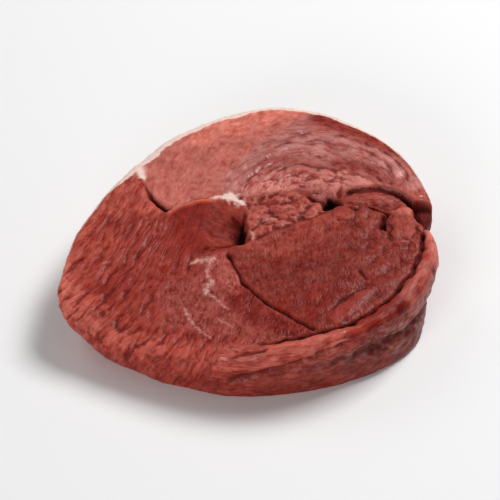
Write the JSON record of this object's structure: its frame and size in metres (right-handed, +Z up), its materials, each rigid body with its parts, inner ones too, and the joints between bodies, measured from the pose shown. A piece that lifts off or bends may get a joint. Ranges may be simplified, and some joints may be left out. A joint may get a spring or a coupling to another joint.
{
  "type": "raw lamb leg steak",
  "caption": "Thick, roughly heart-shaped slice of raw boneless leg meat with muscle seams, a hollow where the bone was and a thin rim of fat.",
  "frame": {"origin": "middle of the steak's footprint, on the flat underside it lies on", "axes": "+X across the steak's long way, +Y from its front to its fat-covered back, +Z up through the thickness to the cut face"},
  "size_m": [0.1186, 0.1109, 0.0225],
  "materials": {
    "meat": "moist raw lean meat with a thin cream rim of fat round the back"
  },
  "bodies": {
    "root": {"steak": "meat"}
  },
  "joints": []
}
